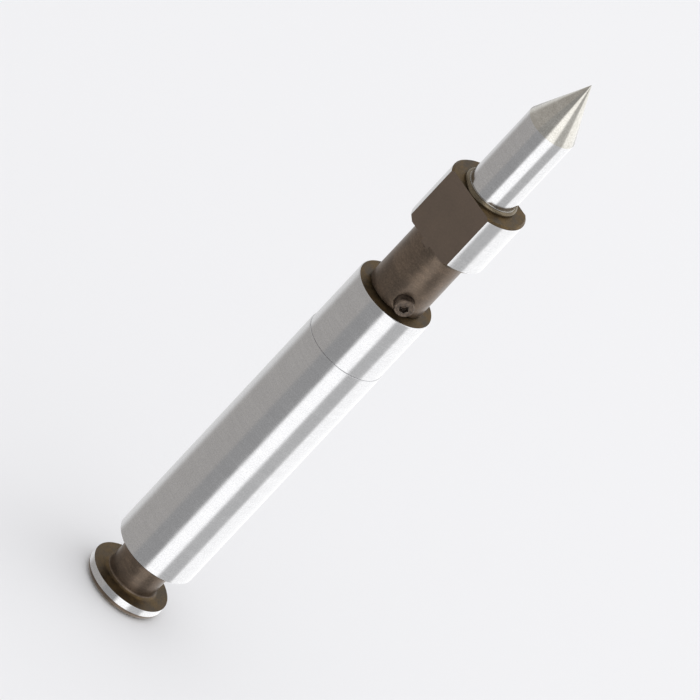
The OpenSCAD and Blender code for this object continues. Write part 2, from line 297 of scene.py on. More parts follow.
class Tree:
    """A node tree with short ways to add and join nodes."""

    def __init__(self, tree: bpy.types.NodeTree) -> None:
        """Wraps an empty node tree."""
        self.tree = tree

    def add(self, kind: str, **settings: object) -> Node:
        """Adds a node and sets its properties."""
        node = self.tree.nodes.new(kind)
        for key, value in settings.items():
            setattr(node, key, value)
        return node

    def join(self, source: Socket, target: Socket) -> None:
        """Links an output to an input."""
        self.tree.links.new(source, target)

    def put(self, value: object, target: Socket) -> None:
        """Links an output to an input, or sets the input to a constant."""
        if isinstance(value, Socket):
            self.join(value, target)
        else:
            target.default_value = value

    def feed(self, node: Node, **inputs: object) -> Node:
        """Links or sets inputs by name, where an underscore stands for a space."""
        for key, value in inputs.items():
            self.put(value, node.inputs[key.replace("_", " ")])
        return node

    def math(self, operation: str, *values: object, clamp: bool = False) -> Socket:
        """Adds a Math node and returns its result."""
        node = self.add("ShaderNodeMath", operation=operation, use_clamp=clamp)
        for socket, value in zip(node.inputs, values):
            self.put(value, socket)
        return node.outputs[0]

    def span(
        self, value: object, low: float, high: float, to_low: float = 0, to_high: float = 1
    ) -> Socket:
        """Maps a range of values onto another, smoothly and clamped."""
        node = self.add("ShaderNodeMapRange", interpolation_type="SMOOTHSTEP")
        self.feed(node, Value=value, From_Min=low, From_Max=high, To_Min=to_low, To_Max=to_high)
        return node.outputs[0]

    def blend(self, share: object, first: object, second: object) -> Socket:
        """Mixes two colours by a share."""
        node = self.add("ShaderNodeMix", data_type="RGBA")
        self.put(share, node.inputs[MIX_SHARE])
        for index, value in ((MIX_FIRST, first), (MIX_SECOND, second)):
            self.put(value if isinstance(value, Socket) else (*value, 1), node.inputs[index])
        return node.outputs[MIX_RESULT]

    def noise(self, vector: object, scale: object, detail: float, rough: float) -> Socket:
        """Adds a noise texture and returns its value."""
        node = self.add("ShaderNodeTexNoise")
        self.feed(node, Vector=vector, Scale=scale, Detail=detail, Roughness=rough)
        return node.outputs["Fac"]


class Effect(Enum):
    """Shader node groups that several finishes share."""

    LATHE_COORDS = "Lathe coordinates"
    TOOL_MARKS = "Tool marks"
    MOTTLE = "Mottle"
    RUB = "Rubbed spots and painted glints"


class EffectShelf:
    """Builds each shared shader node group once and hands it out."""

    MARKS_AROUND = 3.0
    FINE_SHARE = 0.7
    COARSE_SHARE = 0.3
    COARSE_SCALE = 0.22
    TONE_RANGE = (0.35, 0.65)
    GRAIN_SCALE = 3200
    GRAIN_GAIN = 3.0
    CLOUD_RANGE = (0.32, 0.68)
    SPOT_SCALE = 700
    SPOT_RANGE = (0.38, 0.62)

    def __init__(self) -> None:
        """Builds all the groups."""
        self.groups: dict[Effect, bpy.types.NodeTree] = {}
        self._lathe_coords()
        self._tool_marks()
        self._mottle()
        self._rub()

    def use(self, tree: Tree, effect: Effect, **inputs: object) -> Node:
        """Places a group in a material with its own values."""
        node = tree.add("ShaderNodeGroup", node_tree=self.groups[effect])
        return tree.feed(node, **inputs)

    def _start(
        self, effect: Effect, inputs: dict[str, tuple[str, object]], outputs: dict[str, str]
    ) -> tuple[Tree, Node, Node]:
        """Starts a group with named inputs and outputs.

        Args:
            effect: Which group it is.
            inputs: Socket name to its type and default value.
            outputs: Socket name to its type.

        Returns:
            The group's tree, its input node and its output node.
        """
        group = bpy.data.node_groups.new(effect.value, "ShaderNodeTree")
        for name, (kind, default) in inputs.items():
            socket = group.interface.new_socket(name=name, in_out="INPUT", socket_type=kind)
            if default is not None:
                socket.default_value = default
        for name, kind in outputs.items():
            group.interface.new_socket(name=name, in_out="OUTPUT", socket_type=kind)
        self.groups[effect] = group
        tree = Tree(group)
        return tree, tree.add("NodeGroupInput"), tree.add("NodeGroupOutput")

    def _lathe_coords(self) -> None:
        """Place on a turned piece: a seamless vector round the axis, and the distance from the axis."""
        tree, source, sink = self._start(
            Effect.LATHE_COORDS,
            {"Vector": (VECTOR, None), "Around": (FLOAT, 1.0), "Along": (FLOAT, 1.0), "Across": (FLOAT, 1.0)},
            {"Vector": VECTOR, "Radius": FLOAT},
        )
        parts = tree.add("ShaderNodeSeparateXYZ")
        tree.join(source.outputs["Vector"], parts.inputs[0])
        x, y, z = parts.outputs
        radius = tree.math("SQRT", tree.math("ADD", tree.math("MULTIPLY", x, x), tree.math("MULTIPLY", y, y)))
        safe = tree.math("MAXIMUM", radius, TOLERANCE * MM)
        turn = [
            tree.math("MULTIPLY", tree.math("DIVIDE", side, safe), source.outputs["Around"]) for side in (x, y)
        ]
        spread = tree.math("MULTIPLY", radius, source.outputs["Across"])
        along = tree.math("ADD", tree.math("MULTIPLY", z, source.outputs["Along"]), spread)
        vector = tree.add("ShaderNodeCombineXYZ")
        tree.feed(vector, X=turn[0], Y=turn[1], Z=along)
        tree.join(vector.outputs[0], sink.inputs["Vector"])
        tree.join(radius, sink.inputs["Radius"])

    def _tool_marks(self) -> None:
        """Fine rings left by a grinding wheel or a turning tool, as a height and as a tone."""
        tree, source, sink = self._start(
            Effect.TOOL_MARKS,
            {"Vector": (VECTOR, None), "Rings per mm": (FLOAT, 4.0), "Length": (FLOAT, 1.0)},
            {"Height": FLOAT, "Tone": FLOAT},
        )
        density = tree.math("MULTIPLY", source.outputs["Rings per mm"], 1 / MM)
        around = tree.math("DIVIDE", self.MARKS_AROUND, source.outputs["Length"])
        place = source.outputs["Vector"]
        coords = self.use(
            tree, Effect.LATHE_COORDS, Vector=place, Around=around, Along=density, Across=density
        )
        fine = tree.noise(coords.outputs["Vector"], 1.0, 3, 0.6)
        coarse = tree.noise(coords.outputs["Vector"], self.COARSE_SCALE, 2, 0.5)
        rings = [
            tree.math("MULTIPLY", tone, share)
            for tone, share in ((fine, self.FINE_SHARE), (coarse, self.COARSE_SHARE))
        ]
        height = tree.math("ADD", *rings)
        tree.join(height, sink.inputs["Height"])
        tree.join(tree.span(height, *self.TONE_RANGE), sink.inputs["Tone"])

    def _mottle(self) -> None:
        """Cloudy change between two colours, with fine grain on top."""
        tree, source, sink = self._start(
            Effect.MOTTLE,
            {
                "Vector": (VECTOR, None),
                "Cloud size": (FLOAT, 3.0),
                "Clouds": (FLOAT, 1.0),
                "Grain": (FLOAT, 0.3),
                "Light": (COLOR, (1, 1, 1, 1)),
                "Dark": (COLOR, (0, 0, 0, 1)),
            },
            {"Color": COLOR, "Cloud": FLOAT, "Grain": FLOAT},
        )
        scale = tree.math("DIVIDE", 1 / MM, source.outputs["Cloud size"])
        cloud = tree.noise(source.outputs["Vector"], scale, 4, 0.55)
        grain = tree.noise(source.outputs["Vector"], self.GRAIN_SCALE, 2, 0.6)
        clouds = tree.span(cloud, *self.CLOUD_RANGE)
        cloudy = tree.math("MULTIPLY", tree.math("SUBTRACT", clouds, 0.5), source.outputs["Clouds"])
        grainy = tree.math("MULTIPLY", tree.math("SUBTRACT", grain, 0.5), source.outputs["Grain"])
        middle = tree.math("ADD", cloudy, 0.5)
        share = tree.math("ADD", middle, tree.math("MULTIPLY", grainy, self.GRAIN_GAIN), clamp=True)
        color = tree.blend(share, source.outputs["Dark"], source.outputs["Light"])
        tree.join(color, sink.inputs["Color"])
        tree.join(clouds, sink.inputs["Cloud"])
        tree.join(grain, sink.inputs["Grain"])

    def _rub(self) -> None:
        """Mask of bare spots where handling has rubbed a coating off; on the rubbed edges the same spots are also
        painted glints.
        """
        tree, source, sink = self._start(
            Effect.RUB,
            {"Vector": (VECTOR, None), "Amount": (FLOAT, 0.5)},
            {"Mask": FLOAT},
        )
        spots = tree.span(tree.noise(source.outputs["Vector"], self.SPOT_SCALE, 3, 0.6), *self.SPOT_RANGE)
        tree.join(tree.math("MULTIPLY", spots, source.outputs["Amount"], clamp=True), sink.inputs["Mask"])


def new_material(name: str) -> tuple[Material, Tree, Socket]:
    """Starts an empty material.

    Args:
        name: Name of the material.

    Returns:
        The material, its node tree and its Object coordinates.
    """
    material = bpy.data.materials.new(name)
    material.use_nodes = True
    material.node_tree.nodes.clear()
    tree = Tree(material.node_tree)
    return material, tree, tree.add("ShaderNodeTexCoord").outputs["Object"]


@dataclass(frozen=True)
class MetalFinish:
    """A metal surface with cloudy colour, tool marks and rubbed spots.

    Attributes:
        name: Name of the material.
        light: Lighter colour of the surface.
        dark: Darker colour of the surface.
        roughness: Lowest and highest roughness.
        cloud_size: Size of the clouds of colour, in millimetres.
        grain: Strength of the fine grain in the colour.
        rings_per_mm: Fineness of the tool marks.
        ring_depth: Depth of the tool marks, in millimetres.
        ring_tone: How much the tool marks darken the colour.
        metallic: Share of metal in the surface.
        clouds: Strength of the clouds of colour.
        ring_length: How far one tool mark runs round the piece.
        grain_depth: Depth of the fine grain, in millimetres.
        wear: How far the coating is rubbed off; on the rubbed edges these bare spots are also painted glints.
        bare: Colour of the bare metal under it, which on the rubbed edges is also the colour of painted glints.
    """

    name: str
    light: Color
    dark: Color
    roughness: tuple[float, float]
    cloud_size: float
    grain: float
    rings_per_mm: float
    ring_depth: float
    ring_tone: float
    metallic: float = 1.0
    clouds: float = 1.0
    ring_length: float = 1.0
    grain_depth: float = 0.0
    wear: float = 0.0
    bare: Color = (0.55, 0.53, 0.50)

    def build(self, shelf: EffectShelf) -> Material:
        """Makes the material.

        Args:
            shelf: The shared shader node groups.

        Returns:
            The new material.
        """
        material, tree, place = new_material(self.name)
        mottle = shelf.use(
            tree, Effect.MOTTLE, Vector=place,
            Cloud_size=self.cloud_size, Light=(*self.light, 1), Dark=(*self.dark, 1),
        )
        mottle.inputs["Clouds"].default_value = self.clouds
        mottle.inputs["Grain"].default_value = self.grain
        marks = shelf.use(tree, Effect.TOOL_MARKS, Vector=place, Length=self.ring_length)
        marks.inputs["Rings per mm"].default_value = self.rings_per_mm
        shade = tree.math("MULTIPLY", marks.outputs["Tone"], self.ring_tone)
        color = tree.blend(shade, mottle.outputs["Color"], self.dark)
        rough = tree.span(mottle.outputs["Cloud"], 0.0, 1.0, *self.roughness)
        # Bare-metal spots: real wear, and on the rubbed edges painted glints as well
        if self.wear:
            worn_and_glint = shelf.use(tree, Effect.RUB, Vector=place, Amount=self.wear)
            color = tree.blend(worn_and_glint.outputs["Mask"], color, self.bare)
        height = tree.math("MULTIPLY", marks.outputs["Height"], self.ring_depth)
        if self.grain_depth:
            height = tree.math("ADD", height, tree.math("MULTIPLY", mottle.outputs["Grain"], self.grain_depth))
        bump = tree.feed(tree.add("ShaderNodeBump"), Strength=1.0, Distance=MM, Height=height)
        shader = tree.add("ShaderNodeBsdfPrincipled")
        tree.feed(shader, Base_Color=color, Metallic=self.metallic, Roughness=rough, Normal=bump.outputs[0])
        tree.feed(tree.add("ShaderNodeOutputMaterial"), Surface=shader.outputs[0])
        return material


@dataclass(frozen=True)
class RubberFinish:
    """Matt black seal rubber with a fine grain. Its sizes mean what a MetalFinish's do.

    Attributes:
        bump: Strength of the grain's shading.
    """

    name: str = "Seal rubber"
    light: Color = (0.03, 0.03, 0.032)
    dark: Color = (0.012, 0.012, 0.013)
    roughness: tuple[float, float] = (0.5, 0.7)
    cloud_size: float = 1.5
    grain_depth: float = 0.02
    bump: float = 0.3

    def build(self, shelf: EffectShelf) -> Material:
        """Makes the material from the shared mottle group."""
        material, tree, place = new_material(self.name)
        mottle = shelf.use(
            tree, Effect.MOTTLE, Vector=place,
            Cloud_size=self.cloud_size, Light=(*self.light, 1), Dark=(*self.dark, 1),
        )
        rough = tree.span(mottle.outputs["Cloud"], 0.0, 1.0, *self.roughness)
        bump = tree.add("ShaderNodeBump")
        tree.feed(bump, Strength=self.bump, Distance=self.grain_depth * MM, Height=mottle.outputs["Grain"])
        shader = tree.add("ShaderNodeBsdfPrincipled")
        tree.feed(shader, Base_Color=mottle.outputs["Color"], Roughness=rough, Normal=bump.outputs[0])
        tree.feed(tree.add("ShaderNodeOutputMaterial"), Surface=shader.outputs[0])
        return material


class Finish(Enum):
    """The finishes of this live center."""

    GROUND = MetalFinish(
        "Ground steel", (0.83, 0.83, 0.84), (0.62, 0.62, 0.63), (0.14, 0.18), cloud_size=5, clouds=0.12, grain=0.5,
        rings_per_mm=2.2, ring_length=2.5, ring_depth=0.0012, ring_tone=0.35,
    )
    # Painted reflection: a darker, yellower copy of ground steel for the cone, standing for its darker olive
    # reflections
    GROUND_CONE = MetalFinish(
        "Ground steel, painted reflection tint", (0.81, 0.79, 0.74), (0.55, 0.53, 0.48), (0.14, 0.19), cloud_size=4, clouds=0.4,
        grain=0.6, rings_per_mm=2.2, ring_length=2.5, ring_depth=0.0015, ring_tone=0.4,
    )
    OXIDE = MetalFinish(
        "Brown oxide", (0.240, 0.178, 0.130), (0.110, 0.085, 0.066), (0.32, 0.42), metallic=0.85, cloud_size=5,
        clouds=0.5, grain=0.5, rings_per_mm=1.8, ring_depth=0.004, ring_tone=0.55, grain_depth=0.002,
    )
    OXIDE_FLAT = MetalFinish(
        "Brown oxide, milled flat", (0.165, 0.122, 0.092), (0.130, 0.099, 0.076), (0.52, 0.58), metallic=0.6,
        cloud_size=6, clouds=0.4, grain=0.4, rings_per_mm=1, ring_depth=0.0004, ring_tone=0.0, grain_depth=0.002,
    )
    OXIDE_FACE = MetalFinish(
        "Olive oxide, faced", (0.160, 0.105, 0.046), (0.055, 0.040, 0.024), (0.38, 0.55), metallic=0.8,
        cloud_size=3.5, clouds=0.9, grain=0.6, rings_per_mm=2, ring_depth=0.004, ring_tone=0.4, grain_depth=0.003,
    )
    RING = MetalFinish(
        "Burnished oxide", (0.230, 0.190, 0.130), (0.120, 0.096, 0.066), (0.20, 0.28), metallic=0.95, cloud_size=3,
        clouds=0.6, grain=0.4, rings_per_mm=3, ring_depth=0.001, ring_tone=0.3,
    )
    # Partly real edge wear, partly painted glints: bare, smoother spots on the broken edges of the spindle and the
    # lock screw
    RUBBED = MetalFinish(
        "Rubbed edge, painted glint", (0.210, 0.170, 0.135), (0.120, 0.096, 0.078), (0.26, 0.36), metallic=0.95, cloud_size=2,
        grain=0.5, rings_per_mm=3, ring_depth=0.001, ring_tone=0.2, wear=0.6,
    )
    SCREW = MetalFinish(
        "Screw oxide", (0.190, 0.145, 0.112), (0.070, 0.056, 0.046), (0.32, 0.48), metallic=0.85, cloud_size=1.1,
        grain=0.7, rings_per_mm=4, ring_depth=0.003, ring_tone=0.2, grain_depth=0.004,
    )
    POLISHED = MetalFinish(
        "Bearing steel", (0.72, 0.73, 0.75), (0.58, 0.59, 0.61), (0.08, 0.13), cloud_size=4, clouds=0.2, grain=0.2,
        rings_per_mm=6, ring_depth=0.0004, ring_tone=0.15,
    )
    SPRING = MetalFinish(
        "Spring steel", (0.36, 0.37, 0.40), (0.22, 0.22, 0.24), (0.28, 0.40), cloud_size=2, clouds=0.7, grain=0.4,
        rings_per_mm=5, ring_depth=0.001, ring_tone=0.2, wear=0.15,
    )
    BRASS = MetalFinish(
        "Pressed brass", (0.76, 0.56, 0.26), (0.56, 0.38, 0.16), (0.22, 0.34), cloud_size=2, clouds=0.6, grain=0.4,
        rings_per_mm=6, ring_depth=0.0008, ring_tone=0.2,
    )
    RUBBER = RubberFinish()


# Sub-assemblies


@dataclass
class Housing:
    """Still pieces that show: shank sleeve, front bearing cap and tail button. Sizes are in millimetres.

    Attributes:
        edge: Width of a broken edge.
        button_t: Thickness of the tail button.
        button_round: Rounding of the button's back edge, which is left brown as painted shade under the ground
            rim.
        tail_neck_r: Radius of the tail button's neck.
        tail_fillet: Fillet between that neck and the button.
        stud_r: Radius of the tail button's stud.
        stud_pitch: Thread pitch of the stud.
        shank_chamfer: Chamfer on the sleeve's ends.
        cap_chamfer: Chamfer on the cap's front edge.
        joint_chamfer: Chamfer where the cap meets the sleeve.
        thread_r: Radius of the thread between the cap and the sleeve.
        thread_pitch: Pitch of that thread.
        spigot_len: Length of the cap's spigot.
        spigot_gap: Room between the spigot's end and the counterbore's floor.
        relief_r: Radius of the groove behind the cap's thread.
        relief_lead: How far that groove starts before the seal ring in it.
        lip_r: Radius of the bore that the spindle comes out of.
        ring_fit: Gap round the bearing rings.
        stud_end: Plain length at the stud's end, and the gap from there to the wide bore.
        ground_depth: How far in from the outside the ground finish runs.
    """

    edge: float = 0.06
    button_t: float = 3.4
    button_round: float = 1.6
    tail_neck_r: float = 6.2
    tail_fillet: float = 0.9
    stud_r: float = 4.95
    stud_pitch: float = 1.5
    shank_chamfer: float = 0.3
    cap_chamfer: float = 0.2
    joint_chamfer: float = 0.07
    thread_r: float = 9.0
    thread_pitch: float = 1.0
    spigot_len: float = 7.0
    spigot_gap: float = 0.4
    relief_r: float = 7.8
    relief_lead: float = 0.22
    lip_r: float = 6.1
    ring_fit: float = 0.01
    stud_end: float = 0.5
    ground_depth: float = 0.25

    def build(self, finishes: dict[Finish, Material]) -> list[Piece]:
        """Makes the three pieces and ties them to the housing.

        Args:
            finishes: The material of each finish.

        Returns:
            The new pieces.
        """
        made = []
        for piece, node, slot, end_finish in (
            (self.sleeve(), "shank_sleeve", "ground_steel", Finish.GROUND),
            (self.cap(), "front_bearing_cap", "ground_cap", Finish.OXIDE_FACE),
            (self.tail_button(), "tail_button", "dark_steel", Finish.OXIDE_FACE),
        ):
            outer = node_radius(node)
            Workshop.dress(
                piece,
                [finishes[Finish.GROUND], finishes[Finish.OXIDE], finishes[end_finish]],
                lambda r, h, n, outer=outer: self.pick(r, h, n, outer),
            )
            Workshop.soften(piece, self.edge)
            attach(piece, "housing")
            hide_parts(node)
            made.append(piece)
        return made

    def pick(self, radius: float, height: float, normal: Vector, outer: float) -> int:
        """Ground on the outside and its chamfers above the button's back rounding, end finish on faces square to
        the axis, brown elsewhere.
        """
        # Painted shade: the button's back rounding is never ground, so it shows as a dark brown band under the
        # bright rim
        outside = radius > outer - self.ground_depth and height > self.button_round
        if outside and abs(normal.z) < SQUARE_SHARE:
            return 0
        return 2 if abs(normal.z) > END_SHARE else 1

    def sleeve(self) -> Piece:
        """The long ground sleeve with its stepped bore."""
        r, c, j = node_radius("shank_sleeve"), self.shank_chamfer, self.joint_chamfer
        base, top = node_base("shank_sleeve"), node_top("shank_sleeve")
        counterbore = top - self.spigot_len - self.spigot_gap
        seat = node_base("thrust_housing_washer")
        seat_r = node_radius("thrust_housing_washer") + self.ring_fit
        bore_r = node_radius("rear_outer_ring") + self.ring_fit
        bore = node_top("tail_button") + self.stud_end
        stud_bore_r = self.stud_r + THREAD_PLAY
        outline = [
            (r - c, base), (r, base + c), (r, top - j), (r - j, top),
            (self.thread_r, top), (self.thread_r, counterbore), (seat_r, counterbore), (seat_r, seat),
            (bore_r, seat), (bore_r, bore), (stud_bore_r, bore), (stud_bore_r, base),
        ]
        return Workshop.turn("ground_shank", outline, hollow=True)

    def cap(self) -> Piece:
        """The front cap with its threaded spigot, seal groove and bearing bore."""
        r, c, j = node_radius("front_bearing_cap"), self.cap_chamfer, self.joint_chamfer
        spigot, face = node_base("front_bearing_cap"), node_top("front_bearing_cap")
        joint = node_top("shank_sleeve")
        seal, seal_top, seal_r = node_base("shaft_seal"), node_top("shaft_seal"), node_radius("shaft_seal")
        cup_top, cup_r = node_top("needle_cup"), node_radius("needle_cup")
        relief = node_base("cap_o_ring") - self.relief_lead
        outline = [
            (cup_r, spigot),
            *thread(self.thread_r - THREAD_PLAY, self.thread_pitch, spigot, relief),
            (self.relief_r, relief), (self.relief_r, joint),
            (r - j, joint), (r, joint + j), (r, face - c), (r - c, face),
            (self.lip_r, face), (self.lip_r, seal_top), (seal_r, seal_top), (seal_r, seal),
            (self.lip_r, seal), (self.lip_r, cup_top), (cup_r, cup_top),
        ]
        return Workshop.turn("bearing_cap", outline, hollow=True)

    def tail_button(self) -> Piece:
        """The button, its waisted neck and its threaded stud."""
        r, t, b, f = node_radius("tail_button"), self.button_t, self.button_round, self.tail_fillet
        joint, top = node_base("shank_sleeve"), node_top("tail_button")
        outline = [
            *arc((r - b, b), b, -90, 0),
            (r, t),
            *arc((self.tail_neck_r + f, t + f), f, 270, 180),
            (self.tail_neck_r, joint),
            *thread(self.stud_r, self.stud_pitch, joint, top - self.stud_end),
            (self.stud_r - self.stud_pitch, top),
        ]
        return Workshop.turn("tail_knob", outline, hollow=False)


@dataclass
class SpindleGroup:
    """Turning pieces that show: spindle, point and lock screw. Sizes are in millimetres.

    Attributes:
        edge: Width of a broken edge.
        screw_edge: Width of a broken edge on the lock screw.
        neck_r: Radius of the dark neck.
        neck_gap: Gap between the cap's face and the neck.
        neck_chamfer: Chamfer at the neck's foot.
        collar_r: Radius of the ground collar.
        collar_len: Length of the collar.
        flat_half: Distance from the axis to each wrench flat.
        flat_runout: How far the flats run past the collar.
        back_chamfer: Chamfer on the collar's back edge.
        front_chamfer: Chamfer on the collar's front edge.
        land_r: Radius of the seal land.
        land_gap: Distance from the needle bearing to the seal land.
        journal_r: Radius of the needle bearing's journal.
        stem_r: Radius of the stem.
        tail_r: Radius of the threaded tail.
        tail_pitch: Thread pitch of the tail.
        tail_play: How far the tail's thread stays inside its radius.
        socket_r: Radius of the socket for the point.
        socket_gap: Room under the point's tail.
        nose_r: Radius of the nose.
        cone_angle: Angle across the tip, in degrees.
        tip_r: Radius of the last ring below the tip.
        shoulder_r: Radius of the shoulder ring.
        shoulder_t: Thickness of the shoulder ring.
        shoulder_round: Rounding of the shoulder ring's edge.
        point_tail_r: Radius of the point's tail.
        point_chamfer: Chamfer on the end of that tail.
        groove_r: Radius at the bottom of the groove that the screw grips.
        groove_play: Gap between the screw's thread and the groove's sides and bottom.
        screw_r: Radius of the lock screw's thread.
        screw_pitch: Pitch of that thread.
        screw_core: Depth of the screw's plain core under its radius.
        hole_extra: How far the screw's hole runs past the groove's bottom.
        head_r: Radius of the screw's head.
        head_play: Gap round the head in its hole.
        head_t: Height of the screw's head.
        head_round: Rounding of the head's edge.
        head_seat: Distance from the axis to the head's seat.
        hex_af: Width across the hexagonal socket.
        hex_depth: Depth of the hexagonal socket.
        screw_above_face: Distance from the cap's face to the screw's axis.
        screw_angle: Angle of the screw about the axis, in degrees from +X.
        overshoot: How far the cutters of the flats run past the spindle and the flats' end.
    """

    edge: float = 0.06
    screw_edge: float = 0.02
    neck_r: float = 7.1
    neck_gap: float = 0.4
    neck_chamfer: float = 0.2
    collar_r: float = 10.0
    collar_len: float = 15.8
    flat_half: float = 7.0
    flat_runout: float = 1.0
    back_chamfer: float = 0.9
    front_chamfer: float = 0.5
    land_r: float = 6.0
    land_gap: float = 0.4
    journal_r: float = 5.0
    stem_r: float = 3.99
    tail_r: float = 2.99
    tail_pitch: float = 0.75
    tail_play: float = 0.04
    socket_r: float = 4.01
    socket_gap: float = 0.5
    nose_r: float = 6.1
    cone_angle: float = 47.5
    tip_r: float = 0.12
    shoulder_r: float = 6.9
    shoulder_t: float = 1.0
    shoulder_round: float = 0.56
    point_tail_r: float = 4.0
    point_chamfer: float = 0.4
    groove_r: float = 3.5
    groove_play: float = 0.1
    screw_r: float = 1.25
    screw_pitch: float = 0.45
    screw_core: float = 0.4
    hole_extra: float = 0.2
    head_r: float = 2.25
    head_play: float = 0.15
    head_t: float = 2.4
    head_round: float = 0.4
    head_seat: float = 6.7
    hex_af: float = 2.0
    hex_depth: float = 1.2
    screw_above_face: float = 3.2
    screw_angle: float = -44.0
    overshoot: float = 1.0

    def build(self, finishes: dict[Finish, Material]) -> list[Piece]:
        """Makes the three pieces and ties them to the spindle's body.

        Args:
            finishes: The material of each finish.

        Returns:
            The new pieces.
        """
        ground, oxide = finishes[Finish.GROUND], finishes[Finish.OXIDE]
        face, flat = finishes[Finish.OXIDE_FACE], finishes[Finish.OXIDE_FLAT]
        # The rubbed finish on the broken edges is edge wear that also paints glints on them
        rubbed = finishes[Finish.RUBBED]
        spindle = self.spindle()
        Workshop.dress(spindle, [ground, oxide, face, flat, rubbed], self.spindle_finish)
        Workshop.soften(spindle, self.edge, edge_slot=4)
        point = self.point()
        Workshop.dress(point, [ground, finishes[Finish.RING], finishes[Finish.GROUND_CONE]], self.point_finish)
        Workshop.soften(point, self.edge)
        screw = self.lock_screw()
        # The screw's broken edges take the same rubbed finish, with its painted glints
        Workshop.dress(screw, [finishes[Finish.SCREW], rubbed], lambda r, h, n: 0)
        Workshop.soften(screw, self.screw_edge, segments=2, edge_slot=1)
        for piece, node, slot in (
            (spindle, "spindle", "dark_spindle"),
            (point, "center_point", "ground_point"),
            (screw, "point_lock_screw", "black_screw"),
        ):
            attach(piece, "spindle_group")
            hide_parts(node)
        return [spindle, point, screw]

    def spindle_finish(self, radius: float, height: float, normal: Vector) -> int:
        """Ground on the collar's round, matt on its flats, olive on its faces, brown elsewhere."""
        collar = node_top("spindle") - self.collar_len
        if height > collar - self.flat_runout and abs(normal.y) > FLAT_SHARE:
            return 3
        if radius > self.collar_r - 2 * TOLERANCE and abs(normal.z) < ROUND_SHARE:
            return 0
        if height > collar and abs(normal.z) > END_SHARE:
            return 2
        return 1

    def point_finish(self, radius: float, height: float, normal: Vector) -> int:
        """Burnished on the shoulder ring, darker yellowed steel as painted reflection on the cone, ground
        elsewhere.
        """
        ring = node_top("spindle")
        beside_ring = ring - TOLERANCE < height < ring + self.shoulder_t + TOLERANCE
        if beside_ring and radius > self.nose_r + TOLERANCE:
            return 1
        return 2 if height > self.cone_height(self.nose_r) else 0

    def cone_height(self, radius: float) -> float:
        """Height on the cone where it has a given radius, both in millimetres."""
        return node_top("center_point") - radius / math.tan(math.radians(self.cone_angle / 2))

    def spindle(self) -> Piece:
        """The spindle from its threaded tail to the face that the point seats on."""
        tail, seat = node_base("spindle"), node_top("spindle")
        washer, shoulder = node_base("lock_washer"), node_top("rear_inner_ring")
        thrust, land = node_top("thrust_shaft_washer"), node_top("needle_cup") + self.land_gap
        neck = node_top("front_bearing_cap") + self.neck_gap
        collar = seat - self.collar_len
        socket = node_base("center_point") - self.socket_gap
        c, b, n = self.front_chamfer, self.back_chamfer, self.neck_chamfer
        outline = [
            *thread(self.tail_r - self.tail_play, self.tail_pitch, tail, washer),
            (self.tail_r, washer), (self.tail_r, shoulder), (self.stem_r, shoulder), (self.stem_r, thrust),
            (self.journal_r, thrust), (self.journal_r, land), (self.land_r, land), (self.land_r, neck),
            (self.neck_r - n, neck), (self.neck_r, neck + n), (self.neck_r, collar),
            (self.collar_r - b, collar), (self.collar_r, collar + b),
            (self.collar_r, seat - c), (self.collar_r - c, seat),
            (self.socket_r, seat), (self.socket_r, socket),
        ]
        outline.insert(0, (outline[0][0], tail))
        piece = Workshop.turn("turning_spindle", outline, hollow=False)
        height = self.collar_len + self.flat_runout + self.overshoot
        middle = seat + self.overshoot - height / 2
        for side in (-1, 1):
            size = Vector((4 * self.collar_r, 2 * self.collar_r, height)) * MM
            centre = Vector((0, side * (self.flat_half + self.collar_r), middle)) * MM
            Workshop.cut(piece, Workshop.block(size, centre))
        clearance = self.head_r + self.head_play
        hole = Workshop.turn(
            "screw_hole",
            [
                (self.screw_r, self.groove_r - self.hole_extra), (self.screw_r, self.head_seat),
                (clearance, self.head_seat), (clearance, self.collar_r),
            ],
            hollow=False,
        )
        Workshop.place(hole, self.screw_place())
        Workshop.cut(piece, hole)
        return piece

    def screw_place(self) -> Matrix:
        """Where the lock screw's own axis goes: level, and out through the neck."""
        height = (node_top("front_bearing_cap") + self.screw_above_face) * MM
        turn = Matrix.Rotation(math.radians(self.screw_angle), 4, "Z")
        lean = Matrix.Rotation(math.radians(90), 4, "Y")
        return turn @ Matrix.Translation((0, 0, height)) @ lean

    def point(self) -> Piece:
        """The point: plain tail with a groove, shoulder ring, ground nose and cone."""
        base, seat, tip = node_base("center_point"), node_top("spindle"), node_top("center_point")
        screw = node_top("front_bearing_cap") + self.screw_above_face
        half = self.screw_r + self.groove_play
        r, c = self.point_tail_r, self.point_chamfer
        ring, s = seat + self.shoulder_t, self.shoulder_round
        outline = [
            (r - c, base), (r, base + c), (r, screw - half), (self.groove_r, screw - half),
            (self.groove_r, screw + half), (r, screw + half), (r, seat), (self.shoulder_r, seat),
            *arc((self.shoulder_r - s, ring - s), s, 0, 90),
            (self.nose_r, ring), (self.nose_r, self.cone_height(self.nose_r)),
            (self.tip_r, self.cone_height(self.tip_r)), (0, tip),
        ]
        return Workshop.turn("nose_point", outline, hollow=False)

    def lock_screw(self) -> Piece:
        """The cap screw with a hexagonal socket that locks the point's tail."""
        top, h = self.head_seat + self.head_t, self.head_round
        core = self.screw_r - self.screw_core
        crest, start = self.screw_r - THREAD_PLAY, self.groove_r + self.groove_play
        outline = [
            (core, self.groove_r),
            *thread(crest, self.screw_pitch, start, self.head_seat),
            (core, self.head_seat), (self.head_r, self.head_seat),
            *arc((self.head_r - h, top - h), h, 0, 90),
        ]
        piece = Workshop.turn("lock_screw", outline, hollow=False, segments=SMALL_SEGMENTS)
        deselect_all()
        bpy.ops.mesh.primitive_cylinder_add(
            vertices=6,
            radius=self.hex_af / math.sqrt(3) * MM,
            depth=2 * self.hex_depth * MM,
            location=(0, 0, top * MM),
        )
        Workshop.cut(piece, bpy.context.object)
        Workshop.place(piece, self.screw_place())
        return piece


